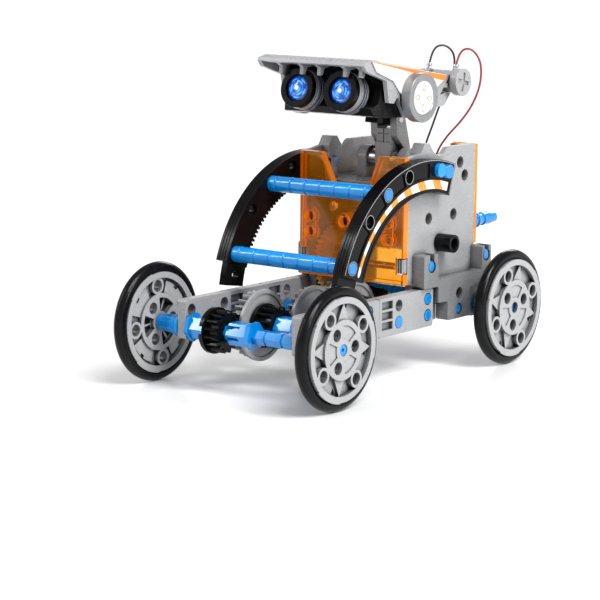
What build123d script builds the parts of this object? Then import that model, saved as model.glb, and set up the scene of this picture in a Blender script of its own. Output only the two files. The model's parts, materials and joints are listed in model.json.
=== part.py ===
from build123d import *
import os
from math import acos, atan2, cos, degrees, pi, radians, sin, tan

# Four-wheeled solar robot, built from a snap-together kit.
# Millimetres. +Z up, the robot faces -Y, +X is its left hand. The origin is on the ground, midway
# between the two axles.

# ---- driving dimensions -------------------------------------------------------------------
WHEEL_R = 25.0              # over the tyre
TYRE_R = 2.5                # tyre section radius
HUB_X = 47.4                # middle plane of a hub
HUB_HALF = 2.94             # half width of a hub
AXLE_Y = 61.9               # half the wheelbase
AXLE_Z = WHEEL_R

PEG_R = 2.45                # every peg, pin and shaft end in the kit
HOLE_R = 2.5                # every socket in the kit
PITCH = 21.0                # hole pitch along a rail
HOLE_RISE = 7.0             # between the two rows of holes

RAIL_IN = 27.5              # inboard face of a rail
RAIL_OUT = 32.0
RAIL_LOW = 20.0
RAIL_HIGH = 36.4
RAIL_FRONT = -65.5
RAIL_REAR = 26.0
LAP_FRONT = -26.7           # the half lap that joins the two rails of a side
LAP_REAR = -13.0

PLATE_IN = 24.8             # body side plate
PLATE_OUT = 27.3
BODY_FRONT = 13.3
BODY_REAR = 63.5
BODY_LOW = 38.5
DECK_Z = 80.0

ARCH_Y, ARCH_Z = 19.0, 29.9  # centre of the arches
ARCH_OUTER = 61.5
ARCH_INNER = 47.7
ARCH_HOLES = 57.1
ARCH_IN, ARCH_OUT = 27.5, 33.5
LOWER_BAR_ANGLE = 157.4     # from the rear, over the top
UPPER_BAR_ANGLE = 120.1
ARCH_PEG_ANGLES = (83.2, 77.2)

GEAR_TEETH = 26             # grey gears, module 1
PINION_TEETH = 16           # black pinions, module 1
FINAL_TEETH = 12            # small end of the compound gear, module 1
SPUR_TEETH = 36             # large end of the compound gear
MOTOR_TEETH = 10
MOTOR_MODULE = 0.8
COMPOUND_Y, COMPOUND_Z = 28.1, 43.03
MOTOR_ANGLE = 60.0          # direction of the motor from the compound gear

PIVOT_Y, PIVOT_Z = 36.5, 88.2   # the neck's lower pivot
HINGE_Y, HINGE_Z = 36.0, 105.5  # the head's hinge
HEAD_PITCH = 13.0           # the head looks up by this much

WIRE_R = 0.45
WIRE_SOCKETS = [(9.6, 47.0), (15.6, 47.0)]


# ---- shapes -------------------------------------------------------------------------------
def box(x, y, z):
    """A box between the two limits given on each axis."""
    return Pos((x[0] + x[1]) / 2, (y[0] + y[1]) / 2, (z[0] + z[1]) / 2) * Box(
        x[1] - x[0], y[1] - y[0], z[1] - z[0])


def prism_x(outline, x0, x1):
    """A prism along X from a closed outline of (y, z) points."""
    face = make_face(Polyline(*outline, close=True))
    return extrude(Plane.YZ.offset(x0) * face, x1 - x0)


def prism_y(outline, y0, y1):
    """A prism along Y from a closed outline of (x, z) points."""
    face = make_face(Polyline(*outline, close=True))
    return extrude(Pos(0, y0, 0) * Rot(90, 0, 0) * face, y0 - y1)


def rod_x(x0, x1, r, y=0.0, z=0.0):
    """A round rod along X."""
    return Pos((x0 + x1) / 2, y, z) * Rot(0, 90, 0) * Cylinder(r, x1 - x0)


def rod_y(y0, y1, r, x=0.0, z=0.0):
    """A round rod along Y."""
    return Pos(x, (y0 + y1) / 2, z) * Rot(90, 0, 0) * Cylinder(r, y1 - y0)


def cone_x(x0, x1, r0, r1, y=0.0, z=0.0):
    """A round taper along X, r0 at x0 and r1 at x1."""
    return Pos((x0 + x1) / 2, y, z) * Rot(0, 90, 0) * Cone(r0, r1, x1 - x0)


def hex_x(x0, x1, r, y=0.0, z=0.0, turn=0.0):
    """A hexagonal bar along X, r across its flats' half."""
    face = Rot(0, 0, turn) * RegularPolygon(r, 6, major_radius=False)
    return extrude(Plane.YZ.offset(x0) * Pos(y, z) * face, x1 - x0)


def sleeve_x(x0, x1, r, bore, y=0.0, z=0.0):
    """A round tube along X."""
    return rod_x(x0, x1, r, y, z) - rod_x(x0 - 1, x1 + 1, bore, y, z)


def polar(radius, angle):
    """The (y, z) offset at an angle from +Y towards +Z."""
    return radius * cos(radians(angle)), radius * sin(radians(angle))


def mirror_x(shape):
    return mirror(shape, about=Plane.YZ)


def both_sides(shape):
    return [shape, mirror_x(shape)]


def save(node, *shapes):
    """Writes one node, as one solid or as a group of separate solids."""
    solids = [s for shape in shapes for s in shape.solids()]
    whole = solids[0] if len(solids) == 1 else Compound(solids)
    whole.label = node
    export_step(whole, f"parts/{node}.step")


# ---- gears --------------------------------------------------------------------------------
PRESSURE_ANGLE = 25.0
ADDENDUM = 0.8
DEDENDUM = 1.1
BACKLASH = 0.22             # taken off each tooth's thickness, in modules


def gear_outline(teeth, module, phase):
    """An involute spur gear's outline, with a tooth centred at angle phase."""
    pitch_r = module * teeth / 2
    base_r = pitch_r * cos(radians(PRESSURE_ANGLE))
    tip_r = pitch_r + ADDENDUM * module
    root_r = pitch_r - DEDENDUM * module
    involute = lambda r: tan(acos(base_r / r)) - acos(base_r / r)
    half_at_pitch = (pi / 2 - BACKLASH) / teeth + involute(pitch_r)
    low_r = max(base_r, root_r) + 0.01
    radii = [low_r + (tip_r - low_r) * k / 3 for k in range(4)]
    flank = [(r, half_at_pitch - involute(r)) for r in radii]
    if root_r < low_r - 0.05:
        flank.insert(0, (root_r, flank[0][1]))
    points = []
    for tooth in range(teeth):
        middle = radians(phase) + 2 * pi * tooth / teeth
        for r, half in flank:
            points.append((r * cos(middle - half), r * sin(middle - half)))
        for r, half in reversed(flank):
            points.append((r * cos(middle + half), r * sin(middle + half)))
    return points


def gear_x(teeth, module, x0, x1, y, z, phase):
    outline = [(y + a, z + b) for a, b in gear_outline(teeth, module, phase)]
    return prism_x(outline, x0, x1)


def meshed_phase(phase, teeth, next_teeth, direction):
    """The tooth phase of a gear that lies in a direction from another one and meshes with it."""
    step = 360 / teeth
    fraction = ((direction - phase) % step) / step
    return direction + 180 - (0.5 - fraction) * 360 / next_teeth


# ---- wheels -------------------------------------------------------------------------------
BOSS_RING = 15.3            # radius of the four outer sockets
SMALL_RING = 7.6            # radius of the three inner sockets
SMALL_TURN = -30.0          # the first inner socket, from the first outer one
WEB = (-0.9, 0.5)           # the floor of the hub's channel
RIM_BACK = -3.3
RIM_R, RIM_IN = 20.9, 18.4
LIP_R = 21.3
DISC_R = 12.0
TYRE_INSET = 0.6            # the tyre's middle plane, inboard of the hub's


def fan(r0, r1, middle, half, x0, x1):
    """A block between two radii, within half degrees of a direction."""
    steps = [middle + half * k / 3 for k in range(-3, 4)]
    outline = [polar(r0, a) for a in steps] + [polar(r1, a) for a in reversed(steps)]
    return prism_x(outline, x0, x1)


def hub_channel(body):
    """The four outer sockets' bosses, with the ribs, pits and plates of the channel between them."""
    for k in range(4):
        body += rod_x(-HUB_HALF, HUB_HALF, 3.6, *polar(BOSS_RING, 90 * k))
    for k in range(4):
        body -= rod_x(-4, 4, HOLE_R, *polar(BOSS_RING, 90 * k))
        middle = 45 + 90 * k
        rib = [polar(18.7, middle + 7), polar(11.6, middle + 24), polar(11.6, middle - 12)]
        body += prism_x(rib, WEB[1] - 0.1, 1.9)
        pit = [polar(15.2, middle - 3), polar(17.9, middle + 3), polar(17.9, middle - 6)]
        body -= prism_x(pit, -0.4, 3)
        body += fan(11.6, 17.2, middle, 23, WEB[0] - 1.0, WEB[0] + 0.1)
        body -= fan(16.0, 17.8, middle, 4, WEB[0] - 2.0, WEB[0] + 0.05)
    return body


def hub(turn):
    """A hub on the X axis with its outer face towards +X."""
    body = rod_x(RIM_BACK, HUB_HALF, RIM_R) - rod_x(-9, 9, RIM_IN)
    for k in range(3):
        middle = SMALL_TURN + 120 * k
        body += fan(RIM_R - 0.6, LIP_R, middle, 21, HUB_HALF - 0.8, HUB_HALF)
        body += fan(RIM_R - 0.6, LIP_R, middle, 21, RIM_BACK, RIM_BACK + 0.4)
    body -= Pos(-TYRE_INSET, 0, 0) * Rot(0, 90, 0) * Torus(WHEEL_R - TYRE_R, TYRE_R + 0.03)
    body += rod_x(WEB[0], WEB[1], RIM_IN + 0.2) + rod_x(-HUB_HALF, HUB_HALF, DISC_R)
    body = hub_channel(body)
    for k in range(3):
        socket = SMALL_TURN + 120 * k
        body -= rod_x(-4, 4, HOLE_R, *polar(SMALL_RING, socket))
        body -= fan(4.4, 9.8, socket + 60, 28, HUB_HALF - 0.6, 4)
        body -= fan(4.4, 10.2, socket + 60, 28, -4, -1.3)
        for half in (-14.5, 14.5):
            body -= fan(4.8, 9.8, socket + 60 + half, 11, -4, 0.7)
    body -= rod_x(-4, 4, PEG_R)
    return Rot(turn, 0, 0) * body


def tyre():
    return Rot(0, 90, 0) * Torus(WHEEL_R - TYRE_R, TYRE_R)


def hub_bush(x0, x1):
    """The tapered bush between a rail and a hub."""
    flange = 1.4
    taper = cone_x(x0 + flange, x1, 4.4, 3.2) + rod_x(x0, x0 + flange, 5.0)
    return taper - rod_x(x0 - 1, x1 + 1, PEG_R)


def save_wheels(end, y, turns):
    """Both wheels of an axle, with the bushes that keep them off the rails."""
    place = Pos(0, y, AXLE_Z)
    left = place * Pos(HUB_X, 0, 0) * hub(turns[0])
    right = place * Pos(-HUB_X, 0, 0) * Rot(0, 0, 180) * hub(turns[1])
    save(f"{end}_hubs", left, right)
    tyre_x = HUB_X - TYRE_INSET
    save(f"{end}_tyres", *[place * Pos(s * tyre_x, 0, 0) * tyre() for s in (1, -1)])
    bush = place * hub_bush(RAIL_OUT + 0.3, HUB_X - HUB_HALF)
    save(f"{end}_hub_bushes", *both_sides(bush))


# ---- shafts and the gear train ------------------------------------------------------------
SEGMENT = 8.6               # spacing of the grooves in a kit shaft
SHAFT_FLAT = 2.9            # half the width across the flats


def kit_shaft(end, half, y, z):
    """A grooved hexagonal shaft, half long each way, on round ends that turn in the frame."""
    shaft = hex_x(-half, half, SHAFT_FLAT, y, z) + rod_x(-end, end, PEG_R, y, z)
    count = int(2 * half // SEGMENT)
    for k in range(count):
        x = (k - (count - 1) / 2) * SEGMENT
        shaft -= sleeve_x(x - 0.45, x + 0.45, 5.0, PEG_R, y, z)
    return shaft


def hex_bore(x0, x1, y, z):
    return hex_x(x0 - 1, x1 + 1, SHAFT_FLAT + 0.03, y, z)


def grey_gear(x0, y, z, phase, length=3.6):
    """A 26-tooth gear with a plain flange on its +X side and a short hub."""
    x1 = x0 + length
    teeth = gear_x(GEAR_TEETH, 1.0, x0, x1, y, z, phase)
    flange = rod_x(x1, x1 + 1.4, 14.9, y, z) - rod_x(x1 + 0.8, x1 + 3, 13.2, y, z)
    flange += rod_x(x1, x1 + 0.8, 14.0, y, z)
    body = teeth + flange + rod_x(x0 - 1.5, x0, 6.0, y, z)
    return body - hex_bore(x0 - 3, x1 + 4, y, z)


def black_pinion(x0, x1, y, z, phase):
    """A 16-tooth pinion with a thin shroud at its outer end."""
    teeth = gear_x(PINION_TEETH, 1.0, x0, x1, y, z, phase)
    shroud = rod_x(x0, x0 + 1.2, 9.3, y, z)
    return teeth + shroud - hex_bore(x0, x1, y, z)


def train_positions():
    """Where the four shafts of the rail-mounted train lie, from the front axle back."""
    return [(-AXLE_Y + PITCH * k, AXLE_Z) for k in range(5)]


AXLE_PHASE = 9.0            # where the axle pinion's first tooth stands
# The first face of each gear, or both faces of each pinion, along X.
AXLE_PINION_X = (-15.8, -8.0)
GEAR_1_X, GEAR_1_LENGTH = -13.2, 5.4
PINION_1_X = (-6.3, 1.9)
GEAR_2_X = -1.5
GEAR_3_X = 13.5
PINION_3_X = (9.8, 16.9)
GEAR_4_X = 4.4
PINION_4_X = (0.6, 7.8)
GEAR_5_X = -15.0
SPUR_X = (-22.4, -19.4)
FINAL_X = (-19.4, -11.6)


def save_front_axle(y, z):
    end = HUB_X + 2.6
    axle = kit_shaft(end, 27.0, y, z)
    save("front_axle", axle - rod_x(end - 1.6, end + 1, 0.8, y, z) - rod_x(-end - 1, 1.6 - end, 0.8, y, z))
    pinion = black_pinion(*AXLE_PINION_X, y, z, AXLE_PHASE)
    face, back = AXLE_PINION_X[0], AXLE_PINION_X[0] + 1.8
    pinion += rod_x(face, back, 9.6, y, z) - rod_x(face - 1, back + 1, 6.0, y, z)
    for angle in (172, 292, 52):
        pinion -= Pos(0, y, z) * Rot(angle, 0, 0) * box((face - 1, back - 0.3), (7.6, 12), (-1.6, 1.6))
    save("axle_pinion", pinion)
    outer = hex_x(-25.4, face - 0.2, 4.3, y, z) + hex_x(-27.0, -25.2, 5.2, y, z, 15)
    inner = hex_x(-5.4, 4.6, 4.5, y, z) + hex_x(4.4, 6.6, 5.1, y, z, 10)
    for angle in (20, 80, 140):
        inner -= Pos(0, y, z) * Rot(angle, 0, 0) * box((-9, 0.6), (-9, 9), (-0.75, 0.75))
    save("hex_bushes", outer - hex_bore(-28, -12, y, z), inner - hex_bore(-10, 8, y, z))


def save_train():
    """The gear train from the front axle back to the motor, in mesh."""
    (y0, z0), (y1, z1), (y2, z2), (y3, z3), (y4, z4) = train_positions()
    save_front_axle(y0, z0)
    n, p = GEAR_TEETH, PINION_TEETH

    phase_1 = meshed_phase(AXLE_PHASE, p, n, 0)
    save("layshaft_1", kit_shaft(RAIL_OUT - 0.2, 26.5, y1, z1))
    save("gear_1", grey_gear(GEAR_1_X, y1, z1, phase_1, GEAR_1_LENGTH))
    save("pinion_1", black_pinion(*PINION_1_X, y1, z1, 0.0))
    collar = hex_x(2.2, 11.6, 4.6, y1, z1) + hex_x(11.4, 13.6, 5.6, y1, z1, 10)
    save("layshaft_bush", collar - hex_bore(2, 14, y1, z1))

    phase_2 = meshed_phase(0.0, p, n, 0)
    save("layshaft_2", kit_shaft(RAIL_OUT - 0.2, 26.5, y2, z2))
    save("gears_2", grey_gear(GEAR_2_X, y2, z2, phase_2), grey_gear(GEAR_3_X, y2, z2, 0.0))

    phase_3 = meshed_phase(0.0, n, p, 0)
    save("layshaft_3", kit_shaft(RAIL_OUT + 0.2, 26.5, y3, z3))
    save("pinion_3", black_pinion(*PINION_3_X, y3, z3, phase_3))
    save("gear_3", grey_gear(GEAR_4_X, y3, z3, 0.0))

    phase_4 = meshed_phase(0.0, n, p, 0)
    save("layshaft_4", kit_shaft(RAIL_IN - 0.6, 23.2, y4, z4))
    save("pinion_4", black_pinion(*PINION_4_X, y4, z4, phase_4))
    gear_4_phase = 4.0
    save("gear_4", grey_gear(GEAR_5_X, y4, z4, gear_4_phase))

    direction = degrees(atan2(COMPOUND_Z - z4, COMPOUND_Y - y4))
    final_phase = meshed_phase(gear_4_phase, n, FINAL_TEETH, direction)
    final = gear_x(FINAL_TEETH, 1.0, *FINAL_X, COMPOUND_Y, COMPOUND_Z, final_phase)
    spur = gear_x(SPUR_TEETH, MOTOR_MODULE, *SPUR_X, COMPOUND_Y, COMPOUND_Z, 0.0)
    shaft_r = 1.5
    compound = final + spur - rod_x(-30, 30, shaft_r, COMPOUND_Y, COMPOUND_Z)
    save("compound_gear", compound)
    save("compound_shaft", rod_x(-26.2, 26.2, shaft_r, COMPOUND_Y, COMPOUND_Z))
    save_motor()


def motor_axis():
    reach = MOTOR_MODULE * (SPUR_TEETH + MOTOR_TEETH) / 2
    y, z = polar(reach, MOTOR_ANGLE)
    return COMPOUND_Y + y, COMPOUND_Z + z


def save_motor():
    y, z = motor_axis()
    can = rod_x(-15.5, 9.5, 9.9, y, z) & box((-20, 20), (y - 7.6, y + 7.6), (z - 12, z + 12))
    can += rod_x(-17.0, -15.5, 3.0, y, z) + rod_x(9.5, 11.0, 2.6, y, z)
    can -= rod_x(-18.0, 8.0, 1.05, y, z)
    cap = box((9.5, 12.0), (y - 6.2, y + 6.2), (z - 8.0, z + 8.0)) - rod_x(9, 13, 2.6, y, z)
    save("motor", can)
    save("motor_end_cap", cap)
    phase = meshed_phase(0.0, SPUR_TEETH, MOTOR_TEETH, MOTOR_ANGLE)
    pinion = gear_x(MOTOR_TEETH, MOTOR_MODULE, SPUR_X[0] - 0.6, SPUR_X[1] + 0.6, y, z, phase)
    save("motor_pinion", pinion + rod_x(-23.6, 7.8, 1.0, y, z))


# ---- rails, brackets and pins -------------------------------------------------------------
def rail_hole(y, z, x0=RAIL_IN - 1, x1=RAIL_OUT + 1):
    return rod_x(x0, x1, HOLE_R, y, z)


def louvre(y0, y1):
    """A pocket in each face of a rail, crossed by two bars, with a thin wall left between."""
    gap = 3.3
    bar = 1.0
    holes = []
    for k in range(3):
        low = RAIL_LOW + 2.9 + k * (gap + bar)
        for x in ((RAIL_IN - 1, RAIL_IN + 1.8), (RAIL_OUT - 1.8, RAIL_OUT + 1)):
            holes.append(box(x, (y0, y1), (low, low + gap)))
    return holes


def rounded_bar(y0, y1, x0, x1, radius):
    """A rail's plain bar, with its corners rounded in side view."""
    face = RectangleRounded(y1 - y0, RAIL_HIGH - RAIL_LOW, radius)
    middle = Pos((y0 + y1) / 2, (RAIL_LOW + RAIL_HIGH) / 2)
    return extrude(Plane.YZ.offset(x0) * middle * face, x1 - x0)


def rail_pair():
    """The front and rear rail of the left side, joined by a half lap."""
    middle = (RAIL_IN + RAIL_OUT) / 2
    front = rounded_bar(RAIL_FRONT, LAP_REAR, RAIL_IN, RAIL_OUT, 1.3)
    front -= box((RAIL_IN - 1, middle), (LAP_FRONT, 0), (0, 60))
    rear = rounded_bar(LAP_FRONT + 0.1, RAIL_REAR, RAIL_IN, RAIL_OUT, 1.3)
    rear -= box((middle - 0.1, RAIL_OUT + 1), (-60, LAP_REAR + 0.1), (0, 60))
    for k in range(5):
        y = -AXLE_Y + PITCH * k
        for z in (AXLE_Z, AXLE_Z + HOLE_RISE):
            front -= rail_hole(y, z)
            rear -= rail_hole(y, z)
    front -= louvre(-36.6, -28.6)
    rear -= louvre(-11.0, -3.4)
    return front, rear


def peg(x0, x1, y, z):
    """A short peg with a rounded head flush with the outboard face."""
    head = 0.5
    body = rod_x(x0, x1 - head, PEG_R + 0.02, y, z)
    return body + cone_x(x1 - head, x1, PEG_R + 0.02, PEG_R - 0.4, y, z)


TONGUE_IN = 23.6
BRACKET_OUT = 33.6
POST_PIN_FRONT = (22.6, 45.8)
POST_PIN_REAR = (64.4, 46.2)


def bracket():
    """The bracket that carries the body and the rear axle on the left side."""
    outer = [(16.8, 36.8), (16.8, 51.0), (27.0, 51.0), (27.6, 39.4), (60.8, 39.4), (61.2, 50.4),
             (68.0, 50.4), (68.0, 37.2), (52.0, 33.6), (52.0, 21.0), (34.9, 21.0), (34.9, 29.6),
             (27.7, 29.6), (27.7, 36.8)]
    face = make_face(Polyline(*outer, close=True))
    low = PLATE_OUT + 0.1
    body = extrude(Plane.YZ.offset(low) * fillet(face.vertices(), 1.0), BRACKET_OUT - low)
    foot = [(50.0, 36.0), (50.0, 20.6), (58.0, 19.6), (66.6, 19.6), (67.6, 21.0), (67.6, 38.0)]
    body += prism_x(foot, PLATE_OUT + 0.1, 30.6)
    body += box((TONGUE_IN, RAIL_IN - 0.1), (17.0, 34.8), (21.0, 37.7))
    body += box((TONGUE_IN, BRACKET_OUT - 2), (28.0, 34.8), (29.7, 36.8))
    for y, z in (POST_PIN_FRONT, POST_PIN_REAR):
        body -= rod_x(20, 40, HOLE_R, y, z)
        body -= box((29.0, 40), (y - 1.6, y + 1.6), (z, z + 10))
    for z in (25.0, 32.0):
        body -= rod_x(20, 28, HOLE_R, 22.1, z)
    body -= rod_x(26, 40, HOLE_R, 43.6, 25.1)
    body -= rod_x(26, 40, HOLE_R, 43.6, 32.0)
    body -= rod_x(26, 40, HOLE_R, AXLE_Y, AXLE_Z)
    body -= box((26, 40), (65.6, 69), (24.0, 28.0))
    return body


def save_rails():
    front, rear = rail_pair()
    save("rails_front", *both_sides(front))
    save("rails_rear", *both_sides(rear))
    lap_y = -AXLE_Y + 2 * PITCH
    third_y = -AXLE_Y + 4 * PITCH
    upper = AXLE_Z + HOLE_RISE
    pegs = [peg(RAIL_IN, RAIL_OUT + 0.1, lap_y, upper),
            peg(TONGUE_IN, RAIL_OUT + 0.4, third_y, upper),
            peg(RAIL_IN, RAIL_OUT + 0.4, third_y, AXLE_Z)]
    save("rail_pegs", *[side for p in pegs for side in both_sides(p)])
    left = bracket()
    save("brackets", *both_sides(left))
    pegs = [peg(PLATE_IN, BRACKET_OUT - 0.2, *POST_PIN_FRONT),
            peg(BRACKET_OUT - 6.2, BRACKET_OUT - 0.2, *POST_PIN_REAR),
            peg(PLATE_OUT + 0.1, BRACKET_OUT - 0.6, 43.6, 25.1)]
    save("bracket_pegs", *[side for p in pegs for side in both_sides(p)])


# ---- the body -----------------------------------------------------------------------------
SIDE_BORES = [(51.8, 87.3), (55.5, 81.4), (28.6, 65.1), (47.3, 65.2), (36.5, 54.2)]
BUSH_Y, BUSH_Z = SIDE_BORES[-1]
BUSH_OUT = 35.4             # outer end of the hollow side bushes
REAR_SHAFT_X, REAR_SHAFT_Z = 21.6, 59.2


def side_plate():
    """The left side plate, with its toothed top edge."""
    outline = [(BODY_FRONT, BODY_LOW), (BODY_FRONT, 92.0), (19.6, 93.0), (22.4, 93.4), (24.9, 97.3),
               (28.3, 97.3), (31.2, 93.6), (33.2, 92.2), (35.2, 91.6), (37.6, 91.7), (39.6, 92.6),
               (41.4, 94.2), (42.7, 94.7), (BODY_REAR, 94.7), (BODY_REAR, BODY_LOW)]
    plate = prism_x(outline, PLATE_IN, PLATE_OUT)
    tooth = [(22.4, 93.4), (24.9, 97.3), (28.3, 97.3), (31.2, 93.6), (31.2, 88.0), (22.4, 88.0)]
    plate += prism_x(tooth, PLATE_IN - 3.4, PLATE_IN + 0.2)
    for y, z in SIDE_BORES[:4]:
        plate += rod_x(PLATE_IN - 2.0, PLATE_IN + 0.1, 3.7, y, z)
    for y, z in SIDE_BORES:
        plate -= rod_x(PLATE_IN - 4, PLATE_OUT + 1, HOLE_R, y, z)
    plate -= rod_x(PLATE_IN - 4, PLATE_OUT + 1, HOLE_R, *POST_PIN_FRONT)
    plate += rod_x(PLATE_IN - 1.2, PLATE_IN + 0.1, 3.4, COMPOUND_Y, COMPOUND_Z)
    plate -= rod_x(PLATE_IN - 2, PLATE_OUT - 1.0, 1.55, COMPOUND_Y, COMPOUND_Z)
    for angle in ARCH_PEG_ANGLES:
        dy, dz = polar(ARCH_HOLES, angle)
        plate -= rod_x(PLATE_IN - 4, PLATE_OUT + 1, 2.3, ARCH_Y + dy, ARCH_Z + dz)
    return plate


COVER_FRONT = 10.0
COVER_WALL = 1.5


def front_cover():
    """The translucent front cover, a shallow shell with two horns, open at the back."""
    outline = [(-27.4, BODY_LOW), (-27.4, 92.0), (-16.4, 92.0), (-10.0, 79.4), (9.2, 79.4),
               (14.0, 92.2), (27.4, 92.2), (27.4, BODY_LOW)]
    inner = [(-25.9, BODY_LOW + 1.5), (-25.9, 90.5), (-17.4, 90.5), (-11.0, 77.9), (10.2, 77.9),
             (15.0, 90.7), (25.9, 90.7), (25.9, BODY_LOW + 1.5)]
    back = BODY_FRONT - 0.1
    shell = prism_y(outline, COVER_FRONT, back) - prism_y(inner, COVER_FRONT + COVER_WALL, back + 1)
    bosses = [(-22.4, 63.9), (-22.4, 57.2), (18.6, 64.2), (18.6, 57.2)]
    for x in (-22.4, 18.6):
        shell += box((x - 3.5, x + 3.5), (COVER_FRONT - 0.5, COVER_FRONT + 1), (56.9, 64.2))
    for x, z in bosses:
        shell += rod_y(COVER_FRONT - 0.5, back, 3.75, x, z)
    shell += rod_y(COVER_FRONT - 0.5, back, 3.6, -4.0, 63.0)
    for x, z in bosses + [(-4.0, 63.0)]:
        shell -= rod_y(COVER_FRONT - 2, back + 1, HOLE_R, x, z)
    shell += Pos(-9.3, COVER_FRONT + 0.4, 69.4) * Sphere(1.9)
    for x in (-27.4, 23.4):
        shell -= box((x, x + 4.0), (COVER_FRONT - 1, back + 1), (43.0, 50.0))
    ribs = [box((-23.0, 23.0), (COVER_FRONT - 0.5, COVER_FRONT + 1), (z, z + 1.1)) for z in (45.4, 52.4)]
    return shell + ribs


def rear_cover():
    """The translucent rear cover, with the collar that the rear shaft turns in."""
    y0, y1 = BODY_REAR + 0.1, BODY_REAR + 1.8
    outline = [(-27.4, 50.8), (-27.4, 94.4), (-15.2, 94.4), (-10.4, 81.6), (10.4, 81.6),
               (15.2, 94.4), (27.4, 94.4), (27.4, 50.8)]
    cover = prism_y(outline, y0, y1)
    cover += rod_y(y0 - 4.0, y1 + 1.2, 4.6, REAR_SHAFT_X - 1.0, REAR_SHAFT_Z) & box(
        (-27.4, 24.6), (50, 70), (50, 96))
    for side in (-1, 1):
        low, high = sorted((side * 16.0, side * 24.6))
        cover += box((low, high), (y0 - 3.0, y0 + 0.1), (92.9, 94.2))
    for x in (-22.4, 18.6):
        cover += rod_y(y0, y1 + 0.6, 3.5, x, 82.0)
        cover -= rod_y(y0 - 1, y1 + 2, HOLE_R, x, 82.0)
    for z in (66.0, 71.0, 76.0):
        cover -= box((-14.0, 8.0), (y0 - 1, y1 + 1), (z, z + 2.2))
    cover -= rod_y(40, 80, HOLE_R, REAR_SHAFT_X - 1.0, REAR_SHAFT_Z)
    return cover


def rear_shaft():
    """The slotted drive peg at the back."""
    x, z = REAR_SHAFT_X - 1.0, REAR_SHAFT_Z
    shaft = rod_y(57.5, 89.0, PEG_R, x, z)
    shaft += rod_y(57.5, 59.0, 3.4, x, z) + rod_y(67.0, 76.0, 3.0, x, z)
    shaft += rod_y(70.4, 71.4, 3.5, x, z) + rod_y(73.4, 74.4, 3.5, x, z)
    shaft += rod_y(79.0, 84.6, 2.95, x, z)
    shaft -= box((x - 0.7, x + 0.7), (83.6, 95), (z - 5, z + 5))
    return shaft


def deck():
    """The body's inner frame: the deck under the neck, its cross walls and the pivot lugs."""
    inner = PLATE_IN - 0.1
    frame = box((-inner, inner), (BODY_FRONT + 0.2, BODY_REAR - 3.2), (DECK_Z - 1.8, DECK_Z))
    frame += box((-inner, inner), (BODY_REAR - 3.2, BODY_REAR - 1.6), (52.0, DECK_Z))
    frame += box((-inner, inner), (BODY_FRONT + 0.2, BODY_FRONT + 1.8), (72.0, DECK_Z))
    frame -= box((14.0, 24.9), (BODY_REAR - 5, BODY_REAR), (52.0, 66.0))
    lug = [(30.6, DECK_Z - 0.5), (31.6, PIVOT_Z + 2.0), (34.0, PIVOT_Z + 4.6), (39.0, PIVOT_Z + 4.6),
           (41.4, PIVOT_Z + 2.0), (42.4, DECK_Z - 0.5)]
    for side in (-1, 1):
        low, high = sorted((side * 8.4, side * 12.4))
        frame += prism_x(lug, low, high)
        frame += rod_x(low, high, 5.2, PIVOT_Y, PIVOT_Z)
        gusset = [(BODY_FRONT + 0.6, DECK_Z - 0.5), (BODY_FRONT + 2.2, 89.0), (17.4, 91.0),
                  (19.6, 88.6), (24.0, DECK_Z - 0.5)]
        low, high = sorted((side * 17.2, side * 19.6))
        frame += prism_x(gusset, low, high)
        frame -= rod_x(low - 1, high + 1, 1.5, 17.2, 87.4)
    frame -= rod_x(-20, 20, 2.0, PIVOT_Y, PIVOT_Z)
    for side in (-1, 1):
        low, high = sorted((side * 22.7, side * 30))
        frame -= rod_x(low, high, 3.8, *SIDE_BORES[1])
    for x, y in WIRE_SOCKETS:
        socket = Pos(x, y, DECK_Z + 1.6) * Cylinder(1.6, 3.4)
        frame += socket
        frame -= Pos(x, y, DECK_Z + 2.6) * Cylinder(0.8, 3.6)
    return frame


def save_body():
    left = side_plate()
    save("side_plate_left", left)
    save("side_plate_right", mirror_x(left))
    save("front_cover", front_cover())
    save("rear_cover", rear_cover())
    save("rear_shaft", rear_shaft())
    save("body_deck", deck())
    face = PLATE_OUT + 0.05
    bush = sleeve_x(face, BUSH_OUT, 3.9, HOLE_R, BUSH_Y, BUSH_Z)
    bush += sleeve_x(face, face + 0.5, 3.0, 1.6, BUSH_Y, BUSH_Z)
    bush += sleeve_x(PLATE_IN - 1.0, face + 0.1, PEG_R, 1.6, BUSH_Y, BUSH_Z)
    save("side_bushes", *both_sides(bush))


# ---- arches and cross bars ----------------------------------------------------------------
def arch_place(radius, angle):
    dy, dz = polar(radius, angle)
    return ARCH_Y + dy, ARCH_Z + dz


def sector(r0, r1, a0, a1, x0, x1):
    """A block bent round the arch centre, between two radii and two angles."""
    ring = sleeve_x(x0, x1, r1, r0, ARCH_Y, ARCH_Z)
    reach = 90.0
    steps = [a0 + (a1 - a0) * k / 4 for k in range(5)]
    fan = [(ARCH_Y, ARCH_Z)] + [arch_place(reach, a) for a in steps]
    return ring & prism_x(fan, x0 - 1, x1 + 1)


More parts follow.
